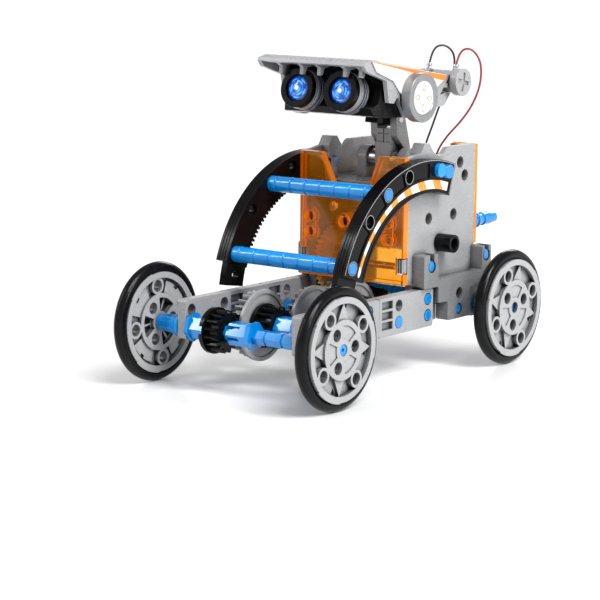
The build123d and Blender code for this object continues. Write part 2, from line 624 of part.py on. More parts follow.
def arch():
    """The left arch: a curved strut with sockets, recessed panels and a toothed inner edge."""
    body = sector(ARCH_INNER, ARCH_OUTER, 71.0, 161.5, ARCH_IN, ARCH_OUT)
    body += sector(ARCH_INNER + 0.8, ARCH_OUTER - 0.6, 161.0, 171.0, ARCH_IN, ARCH_IN + 2.8)
    angles = [LOWER_BAR_ANGLE, 136.2, UPPER_BAR_ANGLE, 104.1]
    stops = [LOWER_BAR_ANGLE] + angles[1:] + [86.0]
    for high, low in zip(stops[:-1], stops[1:]):
        body -= sector(53.9, 60.0, low + 3.2, high - 3.2, ARCH_OUT - 0.6, ARCH_OUT + 1)
    body -= sector(48.7, 53.3, 73.0, 160.2, ARCH_OUT - 0.25, ARCH_OUT + 1)
    body -= sector(49.2, 60.0, 73.0, 100.5, ARCH_IN - 1, ARCH_IN + 1.2)
    for k in range(24):
        start = 102.0 + 2.4 * k
        if start < 159:
            body -= sector(ARCH_INNER - 1, ARCH_INNER + 1.4, start, start + 1.2, ARCH_IN - 1, ARCH_IN + 2.6)
    for x in (28.9, 30.3, 31.7):
        body -= sector(ARCH_OUTER - 0.3, ARCH_OUTER + 1, 71.5, 161.0, x, x + 0.5)
    for angle in angles:
        body -= rod_x(20, 40, HOLE_R, *arch_place(ARCH_HOLES, angle))
    for angle in ARCH_PEG_ANGLES:
        body -= rod_x(20, 40, 2.35, *arch_place(ARCH_HOLES, angle))
    body -= rod_x(20, 40, 1.9, *arch_place(54.6, 166.2))
    return body


def double_peg():
    """The pill-headed peg that holds an arch to its side plate."""
    places = [arch_place(ARCH_HOLES, a) for a in ARCH_PEG_ANGLES]
    body = None
    for y, z in places:
        stem = rod_x(PLATE_IN, ARCH_OUT + 0.2, 2.28, y, z)
        head = rod_x(ARCH_OUT + 0.1, ARCH_OUT + 2.2, 2.9, y, z)
        body = stem + head if body is None else body + stem + head
    (ya, za), (yb, zb) = places
    along = Vector(0, yb - ya, zb - za).normalized()
    up = Vector(0, -along.Z, along.Y) * 1.9
    corners = [(ya + up.Y, za + up.Z), (yb + up.Y, zb + up.Z), (yb - up.Y, zb - up.Z), (ya - up.Y, za - up.Z)]
    return body + prism_x(corners, ARCH_OUT + 0.1, ARCH_OUT + 2.0)


def cross_bar(angle):
    """A round grooved bar between the arches, with a peg at each end."""
    y, z = arch_place(ARCH_HOLES, angle)
    half = ARCH_IN - 0.05
    bar = rod_x(-half, half, 3.4, y, z) + rod_x(-ARCH_OUT - 0.2, ARCH_OUT + 0.2, PEG_R, y, z)
    for k in range(-3, 4):
        x = 7.8 * k
        bar -= sleeve_x(x - 0.4, x + 0.4, 5, 2.9, y, z)
    return bar


def save_arches():
    left = arch()
    save("arch_left", left)
    save("arch_right", mirror_x(left))
    save("cross_bars", cross_bar(UPPER_BAR_ANGLE), cross_bar(LOWER_BAR_ANGLE))
    save("arch_pegs", *both_sides(double_peg()))


# ---- the neck -----------------------------------------------------------------------------
def save_neck():
    lower = [(32.4, 84.0), (31.6, 88.0), (32.2, 95.6), (41.0, 95.6), (41.6, 88.0), (40.2, 84.0)]
    link = prism_x(lower, -3.7, 3.7)
    upper = [(33.0, 95.0), (33.0, HINGE_Z - 4.0), (40.0, HINGE_Z - 4.0), (40.6, 95.0)]
    link += prism_x(upper, -3.9, 3.9)
    ear = [(33.2, HINGE_Z - 7.0), (32.7, HINGE_Z), (39.3, HINGE_Z), (43.6, 91.6), (40.2, 91.2)]
    for side in (-1, 1):
        low, high = sorted((side * 3.45, side * 6.9))
        arm = prism_x(ear, low, high) + rod_x(low, high, 3.3, HINGE_Y, HINGE_Z)
        link += arm
        groove = box((-3.1, 3.1), (32, 33.4), (99.0, 99.4))
        link -= groove
    link -= box((-0.25, 0.25), (32, 33.5), (95.4, 103))
    link -= rod_x(-10, 10, 2.05, PIVOT_Y, PIVOT_Z)
    link -= rod_x(-10, 10, 1.55, HINGE_Y, HINGE_Z)
    save("neck_link", link)
    pin = rod_x(-13.0, 13.0, 1.98, PIVOT_Y, PIVOT_Z)
    for side in (-1, 1):
        low, high = sorted((side * 3.9, side * 8.3))
        pin += rod_x(low, high, 3.9, PIVOT_Y, PIVOT_Z)
    save("neck_pivot_pin", pin)
    save("head_hinge_pin", rod_x(-7.2, 7.2, 1.5, HINGE_Y, HINGE_Z))


# ---- the head, drawn level about its hinge ------------------------------------------------
HEAD_SIDE = 27.6            # outer face of the head's side frames
ROOF_Z = 16.8
EYE_X, EYE_Z = 11.2, 3.9
EYE_R = 8.3
EAR_Y, EAR_Z = -22.6, 7.1
EAR_R = 10.3
TAIL_Y, TAIL_Z = 6.1, 18.6  # axis of the terminal drums
DRUM_R = 4.9
CAP_X = 32.0                # outer face of the drums' end caps
POST_X = (13.2, 27.0)       # the black wire's post and the red wire's
POST_TOP = 26.0


def head_place(shape):
    """Turns a piece drawn level about the hinge into its place on the robot."""
    return Pos(0, HINGE_Y, HINGE_Z) * Rot(-HEAD_PITCH, 0, 0) * shape


def visor():
    """The grey roof frame with its side frames, the ribbed brow and the tail arms."""
    brow = [(-60.1, 13.2), (-59.9, 14.6), (-54.6, ROOF_Z), (0.9, ROOF_Z), (0.9, ROOF_Z - 1.8),
            (-53.6, ROOF_Z - 1.8), (-58.6, 12.9)]
    frame = prism_x(brow, -HEAD_SIDE, HEAD_SIDE)
    frame -= box((-24.4, 24.4), (-51.6, -1.6), (ROOF_Z - 0.9, ROOF_Z + 1))
    side = [(-60.0, 13.1), (-56.3, 16.3), (1.5, 20.6), (-5.8, 7.9), (-6.4, 5.2), (-13.0, 4.0),
            (-16.0, -0.5), (-26.0, -2.2), (-31.4, 2.4), (-33.4, 4.9), (-34.6, 4.6), (-36.0, 2.1),
            (-39.5, 1.8), (-41.4, 6.0), (-43.4, 10.2), (-50.0, 10.6), (-57.6, 11.3)]
    frame += prism_x(side, HEAD_SIDE - 2.0, HEAD_SIDE)
    frame += prism_x(side, -HEAD_SIDE, -HEAD_SIDE + 2.0)
    tail = [(-5.6, 5.8), (-5.6, 12.0), (-0.6, 12.0), (2.8, 13.3), (6.2, 13.5), (2.8, 7.8), (-2.2, 6.1)]
    frame += both_sides(prism_x(tail, HEAD_SIDE - 3.6, HEAD_SIDE - 1.6))
    rib = [(-59.0, 13.4), (-54.0, ROOF_Z - 1.6), (-46.0, ROOF_Z - 1.6), (-49.4, 13.6), (-52.6, 12.6),
           (-53.4, 9.4), (-54.8, 9.2), (-55.2, 12.2)]
    for x in (-18.6, -7.6, 1.4, 14.6, 22.6):
        frame += prism_x(rib, x - 0.9, x + 0.9)
    for low, high in ((-29, -17.7), (17.7, 29)):
        frame -= rod_x(low, high, DRUM_R + 0.15, TAIL_Y, TAIL_Z)
    arm = [(-1.4, ROOF_Z - 1.6), (-1.4, ROOF_Z - 0.1), (4.0, ROOF_Z + 3.6), (TAIL_Y, TAIL_Z + 2.6),
           (TAIL_Y + 2.4, TAIL_Z), (TAIL_Y, TAIL_Z - 2.8), (2.0, ROOF_Z - 1.8)]
    for side_sign in (-1, 1):
        for x in (8.6, 15.6):
            low, high = sorted((side_sign * x, side_sign * (x + 2.2)))
            frame += prism_x(arm, low, high)
    return frame - rod_x(-40, 40, 1.55, TAIL_Y, TAIL_Z)


def solar_panel():
    return box((-24.2, 24.2), (-51.4, -1.8), (ROOF_Z - 0.85, ROOF_Z + 0.25))


def cheek():
    """The pale side panel of the left side."""
    outline = [(-55.9, 16.05), (-1.8, 20.1), (-3.4, 17.4), (-8.7, 12.9), (-14.0, 7.0), (-30.0, 6.0),
               (-33.9, 7.3), (-39.3, 10.9), (-51.6, 12.3)]
    return prism_x(outline, HEAD_SIDE + 0.02, HEAD_SIDE + 0.7)


def jaw():
    """The black face block, with the lug that turns on the neck's hinge pin."""
    side = [(-42.6, -4.6), (-44.4, -2.0), (-41.6, 1.0), (-40.6, 14.8), (-6.0, 14.8), (-6.0, 3.6),
            (-11.0, 0.6), (-39.4, -4.6)]
    block = prism_x(side, -25.4, 25.4)
    for sign in (-1, 1):
        corner = [(sign * 19.0, -50.0), (sign * 30.0, -50.0), (sign * 30.0, -34.0), (sign * 25.6, -38.6)]
        block -= extrude(Pos(0, 0, -20) * make_face(Polyline(*corner, close=True)), 60)
    lug = [(-12.0, 6.0), (-12.0, -3.6), (-3.0, -3.0), (0.0, -3.3), (2.2, -2.4), (3.2, 0.0), (2.4, 2.4),
           (-5.0, 6.0)]
    block += prism_x(lug, -3.2, 3.2)
    block -= rod_x(-5, 5, 1.52)
    for x in (-EYE_X, EYE_X):
        block -= rod_y(-60, -40.7, EYE_R + 0.15, x, EYE_Z)
    slot = [(-38.0, -2.4), (-38.0, 12.8), (-10.0, 12.8), (-10.0, 2.8)]
    return block - prism_x(slot, -22.6, 22.6)


def save_eyes():
    barrels, rings, lenses = [], [], []
    for x in (-EYE_X, EYE_X):
        barrel = rod_y(-52.2, -40.8, 7.6, x, EYE_Z) + rod_y(-52.2, -49.4, EYE_R, x, EYE_Z)
        barrel -= rod_y(-53, -49.6, 5.7, x, EYE_Z)
        barrels.append(head_place(barrel))
        ring = rod_y(-49.3, -43.2, EYE_R + 0.1, x, EYE_Z) - rod_y(-53, -40, 7.62, x, EYE_Z)
        for k in range(3):
            y = -48.2 + 1.7 * k
            ring -= rod_y(y, y + 0.5, 9, x, EYE_Z) - rod_y(y - 1, y + 1, EYE_R - 0.25, x, EYE_Z)
        rings.append(head_place(ring))
        dome = Pos(x, -41.2, EYE_Z) * Sphere(11.0) & rod_y(-53, -49.7, 5.6, x, EYE_Z)
        lenses.append(head_place(dome))
    save("eye_barrels", *barrels)
    save("eye_rings", *rings)
    save("eye_lenses", *lenses)


def save_ears():
    x0, x1 = HEAD_SIDE + 0.75, 33.0
    ring = rod_x(x0, x1, EAR_R, EAR_Y, EAR_Z) - rod_x(x1 - 0.9, x1 + 1, 7.1, EAR_Y, EAR_Z)
    face = rod_x(x1 - 0.88, x1 - 0.4, 7.0, EAR_Y, EAR_Z)
    save("ear_rings", *[head_place(s) for s in both_sides(ring)])
    save("ear_faces", *[head_place(s) for s in both_sides(face)])


def save_tail():
    """The terminal bar with its drums, their end caps and the posts that the wires start from."""
    bar = rod_x(-29.4, 29.4, 1.5, TAIL_Y, TAIL_Z)
    caps = []
    for sign in (-1, 1):
        for near, far in ((10.9, 15.5), (17.9, 28.0)):
            low, high = sorted((sign * near, sign * far))
            bar += rod_x(low, high, DRUM_R, TAIL_Y, TAIL_Z)
        low, high = sorted((sign * 28.4, sign * CAP_X))
        cap = rod_x(low, high, 5.9, TAIL_Y, TAIL_Z)
        face = (sign * CAP_X - 0.8, sign * CAP_X + 0.8)
        cross = box(face, (TAIL_Y - 4, TAIL_Y + 4), (TAIL_Z - 0.8, TAIL_Z + 0.8))
        cross += box(face, (TAIL_Y - 0.8, TAIL_Y + 0.8), (TAIL_Z - 4, TAIL_Z + 4))
        caps.append(cap - cross - rod_x(-29.5, 29.5, 1.5, TAIL_Y, TAIL_Z))
    posts = []
    for x in POST_X:
        foot, top = TAIL_Z + 4.0, POST_TOP
        bar -= Pos(x, TAIL_Y, foot + 2) * Cylinder(0.7, 4)
        post = Pos(x, TAIL_Y, (foot + top) / 2) * Cylinder(0.7, top - foot)
        post += Pos(x, TAIL_Y, TAIL_Z + DRUM_R + 0.5) * Cylinder(1.1, 0.8)
        post += Pos(x, TAIL_Y, top - 0.6) * Cylinder(1.2, 1.2)
        posts.append(head_place(post))
    save("terminal_bar", head_place(bar))
    save("drum_caps", *[head_place(c) for c in caps])
    save("terminal_posts", *posts)


def save_head():
    save("visor", head_place(visor()))
    save("solar_panel", head_place(solar_panel()))
    save("cheek_panels", *[head_place(s) for s in both_sides(cheek())])
    save("jaw", head_place(jaw()))
    save_eyes()
    save_ears()
    save_tail()


# ---- the two wires ------------------------------------------------------------------------
# Each runs from the top of its post, over and down behind the head, into a socket on the deck.
BLACK_ROUTE = [(13.2, 47.8, 129.5), (13.4, 49.3, 135.4), (16.6, 53.0, 137.6), (20.0, 56.2, 134.2),
               (19.4, 58.0, 127.0), (16.4, 57.0, 118.6), (13.8, 54.4, 110.0), (12.4, 51.6, 101.6),
               (10.8, 48.6, 93.6), (9.6, 47.0, 82.6)]
RED_ROUTE = [(27.0, 47.8, 129.5), (27.4, 49.2, 135.2), (31.6, 52.2, 136.6), (35.4, 54.4, 130.6),
             (34.6, 55.4, 121.0), (31.0, 55.0, 112.0), (26.0, 53.6, 104.6), (20.6, 51.4, 98.4),
             (16.6, 48.8, 91.0), (15.6, 47.0, 82.6)]


def save_wire(node, route):
    """One wire as a tube on straight runs joined by arcs, with its length and radii printed."""
    points = [Vector(*p) for p in route]
    runs = [b - a for a, b in zip(points, points[1:])]
    radii = []
    for before, after in zip(runs, runs[1:]):
        turn = radians(before.get_angle(after))
        radii.append(0.45 * min(before.length, after.length) / tan(turn / 2))
    path = FilletPolyline(*points, radius=radii)
    section = Plane(origin=path @ 0, z_dir=path % 0) * Circle(WIRE_R)
    tube = sweep(section, path=path)
    spare = tube.volume / (pi * WIRE_R ** 2 * path.length)
    print(node, "length", round(path.length, 1), "volume ratio", round(spare, 4),
          "radii", [round(r, 1) for r in radii])
    save(node, tube)


# ---- the whole robot ----------------------------------------------------------------------
def save_rear_axle():
    save("rear_axle", kit_shaft(HUB_X + 0.8, 26.5, AXLE_Y, AXLE_Z))


def main():
    os.makedirs("parts", exist_ok=True)
    save_rails()
    save_body()
    save_arches()
    save_train()
    save_rear_axle()
    save_wheels("front", -AXLE_Y, (34.0, 84.0))
    save_wheels("rear", AXLE_Y, (-68.4, 40.0))
    save_neck()
    save_head()
    save_wire("black_wire", BLACK_ROUTE)
    save_wire("red_wire", RED_ROUTE)


main()
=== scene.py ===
import bmesh
import bpy
import json
import math
from mathutils import Matrix, Vector


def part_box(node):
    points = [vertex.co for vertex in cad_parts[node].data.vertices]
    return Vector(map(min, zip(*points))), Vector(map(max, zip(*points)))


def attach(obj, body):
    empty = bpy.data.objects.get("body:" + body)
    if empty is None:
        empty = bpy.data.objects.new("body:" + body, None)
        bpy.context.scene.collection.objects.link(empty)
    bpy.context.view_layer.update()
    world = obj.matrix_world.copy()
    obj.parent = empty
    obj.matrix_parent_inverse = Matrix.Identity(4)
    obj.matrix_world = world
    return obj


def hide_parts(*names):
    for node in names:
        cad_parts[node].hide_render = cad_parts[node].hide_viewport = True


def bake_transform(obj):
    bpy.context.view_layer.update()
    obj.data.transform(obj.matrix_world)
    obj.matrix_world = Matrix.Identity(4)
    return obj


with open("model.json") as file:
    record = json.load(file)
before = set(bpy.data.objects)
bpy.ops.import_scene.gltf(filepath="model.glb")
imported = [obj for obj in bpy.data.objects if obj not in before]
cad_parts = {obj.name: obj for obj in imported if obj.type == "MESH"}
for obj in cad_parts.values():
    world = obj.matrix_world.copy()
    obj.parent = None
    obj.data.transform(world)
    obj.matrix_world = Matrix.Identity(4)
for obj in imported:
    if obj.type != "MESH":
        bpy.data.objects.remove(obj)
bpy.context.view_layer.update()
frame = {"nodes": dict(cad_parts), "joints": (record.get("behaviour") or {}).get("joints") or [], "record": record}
nodes = frame["nodes"]
joints = {joint["name"]: joint for joint in frame["joints"]}
scene = bpy.context.scene
MM = 0.001
SIDES = ((1, "left"), (-1, "right"))


# ---- places read from the model, in millimetres -------------------------------------------
def pivot(joint):
    """A joint's x, y and z."""
    return [round(value / MM, 3) for value in joints[joint]["pos_m"]]


def side_face(node):
    """How far out to the left a node reaches, in x."""
    return round(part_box(node)[1][0] / MM, 3)


HINGE = pivot("head_tilt")
SHAFT_Y = {number: pivot(f"layshaft_{number}_spin")[1] for number in (2, 3, 4)}
SHAFT_Z = pivot("layshaft_2_spin")[2]
ARCH_FACE = side_face("arch_left")
RAIL_FACE = side_face("rails_front")
BRACKET_FACE = side_face("brackets")
CHEEK_FACE = side_face("cheek_panels")
EAR_FACE = side_face("ear_faces")

# ---- places in the model's design, in millimetres and degrees -----------------------------
ARCH_CENTRE = (19.0, 29.9)      # y, z
ARCH_HOLES = 57.1               # radius that the arch's sockets lie on
BAR_ANGLES = (157.4, 120.1)     # arch sockets that the cross bars fill
OPEN_ANGLES = (136.2, 104.1)    # arch sockets left open
HEAD_PITCH = 13.0               # the head looks up by this much
# The head's own frame is level when the head is, and its origin is the hinge.
EYE_X, EYE_Z = 11.2, 3.9
EAR_Y, EAR_Z = -22.6, 7.1
ROOF_Z = 16.8                   # the visor's top face

HEAD = Matrix.Translation(Vector(HINGE)) @ Matrix.Rotation(-math.radians(HEAD_PITCH), 4, "X")


# ---- materials ----------------------------------------------------------------------------
class Look:
    """A node material in the making. Its coordinates are the piece's own, in millimetres."""

    def __init__(self, name, colour, roughness, **sockets):
        self.material = bpy.data.materials.new(name)
        self.material.use_nodes = True
        self.tree = self.material.node_tree
        self.shader = self.tree.nodes["Principled BSDF"]
        self.shader.inputs["Base Color"].default_value = (*colour, 1.0)
        self.shader.inputs["Roughness"].default_value = roughness
        for socket, value in sockets.items():
            self.shader.inputs[socket.replace("_", " ")].default_value = value
        coordinates = self.tree.nodes.new("ShaderNodeTexCoord")
        self.place = self.node("ShaderNodeMapping", Vector=coordinates.outputs["Object"],
                               Scale=(1000, 1000, 1000))

    def node(self, kind, **inputs):
        """Adds a node and returns its first output. An input is a value or another output."""
        made = self.tree.nodes.new(kind)
        for name, value in inputs.items():
            self.feed(made.inputs[name.replace("_", " ")], value)
        return made.outputs[0]

    def feed(self, socket, value):
        """Links an output to a socket, or sets the socket to a plain value."""
        if isinstance(value, bpy.types.NodeSocket):
            self.tree.links.new(value, socket)
        else:
            socket.default_value = value

    def parts(self, vector):
        """A vector's X, Y and Z outputs."""
        made = self.tree.nodes.new("ShaderNodeSeparateXYZ")
        self.feed(made.inputs[0], vector)
        return made.outputs

    def math(self, operation, a, b=0.0, c=0.0):
        """The result of a Math node on up to three values."""
        made = self.tree.nodes.new("ShaderNodeMath")
        made.operation = operation
        for socket, value in zip(made.inputs, (a, b, c)):
            self.feed(socket, value)
        return made.outputs[0]

    def step(self, low, high, value, out_low=0.0, out_high=1.0):
        """value from low to high becomes out_low to out_high, held at the ends."""
        made = self.tree.nodes.new("ShaderNodeMapRange")
        for name, number in (("Value", value), ("From Min", low), ("From Max", high),
                             ("To Min", out_low), ("To Max", out_high)):
            self.feed(made.inputs[name], number)
        return made.outputs[0]

    def noise(self, scale, detail=2.0, roughness=0.5, stretch=(1, 1, 1)):
        """Smooth noise about 0.5, with about scale features to the millimetre."""
        place = self.node("ShaderNodeMapping", Vector=self.place, Scale=stretch)
        return self.node("ShaderNodeTexNoise", Vector=place, Scale=scale, Detail=detail,
                         Roughness=roughness)

    def mix(self, factor, a, b):
        """Colour a at factor 0 and colour b at factor 1."""
        made = self.tree.nodes.new("ShaderNodeMix")
        made.data_type = "RGBA"
        a, b = [(*v, 1.0) if isinstance(v, tuple) and len(v) == 3 else v for v in (a, b)]
        for socket, value in ((made.inputs[0], factor), (made.inputs[6], a), (made.inputs[7], b)):
            self.feed(socket, value)
        return made.outputs[2]

    def bump(self, height, distance, strength=1.0, after=None):
        """A normal bent by a height of 0 to 1 times distance millimetres, on top of another."""
        made = self.tree.nodes.new("ShaderNodeBump")
        made.inputs["Strength"].default_value = strength
        made.inputs["Distance"].default_value = distance * MM
        self.feed(made.inputs["Height"], height)
        if after is not None:
            self.feed(made.inputs["Normal"], after)
        return made.outputs[0]

    def hollow_shade(self, deepest_shade, shade_reach):
        """Painted shade: 1 on open faces, falling to the deepest shade in holes whose walls lie within the reach,
        in millimetres.
        """
        shade = self.tree.nodes.new("ShaderNodeAmbientOcclusion")
        shade.samples = 32
        shade.inputs["Distance"].default_value = shade_reach * MM
        return self.step(0.26, 0.80, shade.outputs["AO"], deepest_shade, 1.0)

    def set(self, socket, value):
        """Feeds one of the shader's own sockets."""
        self.feed(self.shader.inputs[socket], value)


def moulded(name, colour, shade, roughness, spread, grain=0.012, deepest_shade=1.0, shade_reach=5.5,
            **sockets):
    """Moulded plastic: slow colour drift, a fine spark-eroded grain, and faint handling marks.

    A deepest shade below 1 paints shade into holes and pockets, darkening their colour the more the deeper they
    are.
    """
    look = Look(name, colour, roughness, **sockets)
    drift = look.noise(0.07, 3.0)
    tone = look.mix(look.step(0.35, 0.65, drift), shade, colour)
    speck = look.noise(2.6, 2.0, 0.6)
    paint = look.mix(look.step(0.25, 0.75, speck, 0.0, 0.08), tone, shade)
    if deepest_shade < 1:
        # Painted shade: holes and pockets darken towards near black.
        paint = look.mix(look.hollow_shade(deepest_shade, shade_reach), (0.004, 0.004, 0.005), paint)
    look.set("Base Color", paint)
    smear = look.noise(0.35, 4.0, 0.6, (1.0, 0.35, 1.0))
    look.set("Roughness", look.step(0.3, 0.7, smear, roughness - spread, roughness + spread))
    fine = look.bump(look.noise(3.0, 1.0), grain, 0.1)
    look.set("Normal", look.bump(look.noise(0.05, 1.0), grain * 8, 0.2, fine))
    return look


# The greys paint shade into their holes and pockets; on the hubs the painted shade reaches from walls further off.
grey = moulded("grey_plastic", (0.305, 0.309, 0.314), (0.285, 0.289, 0.294), 0.28, 0.03,
               deepest_shade=0.06)
hub_grey = moulded("hub_plastic", (0.34, 0.344, 0.349), (0.318, 0.322, 0.327), 0.28, 0.03,
                   deepest_shade=0.06, shade_reach=9.0)
dark_grey = moulded("dark_grey_plastic", (0.185, 0.188, 0.194), (0.170, 0.173, 0.179), 0.28, 0.04,
                    deepest_shade=0.12)
blue = moulded("blue_plastic", (0.0, 0.245, 0.66), (0.0, 0.18, 0.54), 0.12, 0.03, 0.003,
               Specular_IOR_Level=0.4, Coat_Weight=0.35, Coat_Roughness=0.05)
black = moulded("black_plastic", (0.0045, 0.0045, 0.005), (0.003, 0.003, 0.0035), 0.16, 0.04, 0.004,
                Specular_IOR_Level=0.13)
white = moulded("white_plastic", (0.66, 0.66, 0.655), (0.62, 0.62, 0.615), 0.28, 0.05, 0.004)
amber = moulded("amber_plastic", (0.74, 0.50, 0.16), (0.60, 0.38, 0.09), 0.3, 0.05, 0.006)
orange_print = moulded("orange_print", (0.80, 0.22, 0.014), (0.74, 0.185, 0.010), 0.3, 0.04,
                       0.003)
pinstripe = moulded("pinstripe", (0.46, 0.46, 0.465), (0.36, 0.36, 0.365), 0.35, 0.05, 0.003)
gold_print = moulded("gold_print", (0.30, 0.20, 0.05), (0.25, 0.16, 0.035), 0.3, 0.05, 0.002)


def metal(name, colour, roughness, scale=1.6, stretch=(0.08, 1.0, 1.0), cut=0.01):
    """Drawn or turned metal with fine lines along one direction."""
    look = Look(name, colour, roughness, Metallic=1.0)
    lines = look.noise(scale, 3.0, 0.6, stretch)
    look.set("Base Color", look.mix(lines, tuple(c * 0.82 for c in colour), colour))
    look.set("Roughness", look.step(0.3, 0.7, lines, roughness - 0.06, roughness + 0.08))
    look.set("Normal", look.bump(lines, cut, 0.5))
    return look


steel = metal("steel", (0.60, 0.60, 0.62), 0.26)
brass = metal("brass", (0.80, 0.58, 0.25), 0.24)


def silver_trim():
    """Silver-painted plastic, smooth, with a slow drift in tone."""
    look = Look("silver_trim", (0.27, 0.273, 0.28), 0.3, Metallic=0.55)
    drift = look.noise(0.12, 2.0)
    look.set("Base Color", look.mix(drift, (0.24, 0.243, 0.25), (0.30, 0.303, 0.31)))
    look.set("Roughness", look.step(0.3, 0.7, look.noise(0.3, 2.0), 0.27, 0.33))
    return look


def eye_trim():
    """The eyes' silver sleeves: fine turned ribs with painted shade in their grooves, and one dark blue line round
    them.
    """
    rib_pitch, line_y = 0.75, -46.1
    look = Look("eye_trim", (0.45, 0.455, 0.465), 0.36, Metallic=0.35)
    along = head_point(look)["Y"]
    rib = look.math("FRACT", look.math("MULTIPLY", along, 1 / rib_pitch))
    groove_shade = look.step(0.30, 0.18, look.math("ABSOLUTE", look.math("SUBTRACT", rib, 0.5)))
    line = look.step(0.45, 0.35, look.math("ABSOLUTE", look.math("SUBTRACT", along, line_y)))
    # Painted shade: the colour darkens in each rib's groove.
    metal_tone = look.mix(groove_shade, (0.10, 0.102, 0.11), (0.50, 0.505, 0.52))
    look.set("Base Color", look.mix(line, metal_tone, (0.006, 0.05, 0.20)))
    look.set("Roughness", look.step(0.3, 0.7, look.noise(0.3, 2.0), 0.33, 0.4))
    return look


def rubber():
    """Tyre rubber: a soft sheen, a matt bloom in patches and fine mould marks."""
    look = Look("tyre_rubber", (0.004, 0.004, 0.0045), 0.2, Specular_IOR_Level=0.15)
    bloom = look.noise(0.18, 4.0, 0.6)
    look.set("Base Color", look.mix(look.step(0.45, 0.75, bloom), (0.003, 0.003, 0.0035),
                                    (0.006, 0.006, 0.0065)))
    look.set("Roughness", look.step(0.3, 0.7, bloom, 0.16, 0.26))
    fine = look.bump(look.noise(4.0, 3.0), 0.012, 0.4)
    look.set("Normal", look.bump(look.noise(0.35, 2.0), 0.08, 0.2, fine))
    return look


def clear_orange():
    """Translucent orange polystyrene: amber in the faces, with a painted glow, faint on the faces and bright on
    the side walls, where the edges would gather light.
    """
    look = Look("orange_clear", (0.80, 0.29, 0.025), 0.08, IOR=1.35, Transmission_Weight=0.86,
                Emission_Strength=1.0)
    normal = look.parts(look.tree.nodes.new("ShaderNodeNewGeometry").outputs["Normal"])
    rim = look.step(0.92, 0.45, look.math("ABSOLUTE", normal["Y"]))
    swirl = look.noise(0.12, 3.0)
    body = look.mix(look.step(0.35, 0.65, swirl), (0.80, 0.32, 0.022), (0.92, 0.41, 0.040))
    # Painted light on the side walls: a deeper orange, less see-through, and glowing brighter.
    look.set("Base Color", look.mix(rim, body, (0.94, 0.28, 0.014)))
    look.set("Transmission Weight", look.step(0.0, 1.0, rim, 0.88, 0.4))
    # Painted glow: the faces emit a faint amber light and the side walls a brighter orange one.
    look.set("Emission Color", look.mix(rim, (0.034, 0.012, 0.0002), (0.15, 0.045, 0.001)))
    look.set("Roughness", look.step(0.3, 0.7, look.noise(0.6, 3.0), 0.04, 0.12))
    look.set("Normal", look.bump(look.noise(0.09, 2.0), 0.2, 0.3))
    return look


def head_point(look):
    """The point's X, Y and Z outputs in the head's own frame, in millimetres."""
    centre = look.node("ShaderNodeMapping", Vector=look.place, Location=-Vector(HINGE))
    turn = (math.radians(HEAD_PITCH), 0, 0)
    return look.parts(look.node("ShaderNodeMapping", Vector=centre, Rotation=turn))


def glowing_iris():
    """A blue lens painted as lit: it glows by emission, with a painted white-hot highlight in the centre, broken
    rings and a dark blue edge.
    """
    look = Look("eye_blue", (0.01, 0.08, 0.5), 0.12, Coat_Weight=0.3, Coat_Roughness=0.05,
                Emission_Strength=1.0)
    x, _, z = head_point(look)
    across = look.math("SUBTRACT", look.math("ABSOLUTE", x), EYE_X)
    up = look.math("SUBTRACT", z, EYE_Z)
    radius = look.math("SQRT", look.math("ADD", look.math("MULTIPLY", across, across),
                                         look.math("MULTIPLY", up, up)))
    turn = look.math("ARCTAN2", up, across)

    def ring(middle, width, lobes, phase):
        """A ring round the eye's middle, broken into as many arcs as it has lobes."""
        away = look.math("ABSOLUTE", look.math("SUBTRACT", radius, middle))
        band = look.step(width, width * 0.4, away)
        wave = look.math("SINE", look.math("MULTIPLY_ADD", turn, lobes, phase))
        return look.math("MULTIPLY", band, look.step(-0.35, 0.35, wave, 0.08, 1.0))

    rings = look.math("ADD", ring(1.7, 0.36, 2.0, 0.4), ring(2.9, 0.4, 3.0, 1.7))
    rings = look.math("ADD", rings, ring(4.0, 0.34, 5.0, 2.9))
    glowing_patches = look.step(0.45, 0.7, look.noise(0.8, 3.0, 0.7))
    glow = look.math("MULTIPLY_ADD", glowing_patches, 0.5, look.math("MULTIPLY", rings, 0.8))
    # Painted highlight: a white-hot spot in the eye's middle.
    centre = look.step(1.25, 0.25, radius)
    edge = look.step(5.3, 3.9, radius, 0.04, 1.0)
    base = look.mix(look.math("MINIMUM", glow, 1.0), (0.002, 0.022, 0.20), (0.06, 0.36, 1.0))
    lit = look.mix(centre, base, (0.75, 0.93, 1.0))
    shown = look.mix(edge, (0.001, 0.006, 0.05), lit)
    # Painted glow: the whole pattern is emitted as light too.
    look.set("Base Color", shown)
    look.set("Emission Color", shown)
    return look


def striped_print():
    """Straight orange and white stripes, all slanting the same way."""
    ahead_y, ahead_z = 0.883, 0.469     # the direction from one stripe to the next
    pitch, first = 9.82, 32.1           # from stripe to stripe, and where one starts
    whole = 10                          # whole stripes added, so that the count stays above 0
    look = Look("arch_stripes", (0.75, 0.75, 0.75), 0.3)
    point = look.parts(look.place)
    across = look.math("SUBTRACT", point["Y"], ARCH_CENTRE[0])
    up = look.math("SUBTRACT", point["Z"], ARCH_CENTRE[1])
    along = look.math("MULTIPLY_ADD", up, ahead_z, look.math("MULTIPLY", across, ahead_y))
    count = look.math("MULTIPLY_ADD", along, 1 / pitch, whole - first / pitch)
    cycle = look.math("FRACT", count)
    stripe = look.step(0.495, 0.505, cycle)
    ink = look.mix(look.noise(0.9, 3.0), (0.78, 0.24, 0.024), (0.85, 0.29, 0.034))
    look.set("Base Color", look.mix(stripe, (0.76, 0.76, 0.75), ink))
    look.set("Roughness", look.step(0.3, 0.7, look.noise(0.6, 2.0), 0.24, 0.36))
    return look


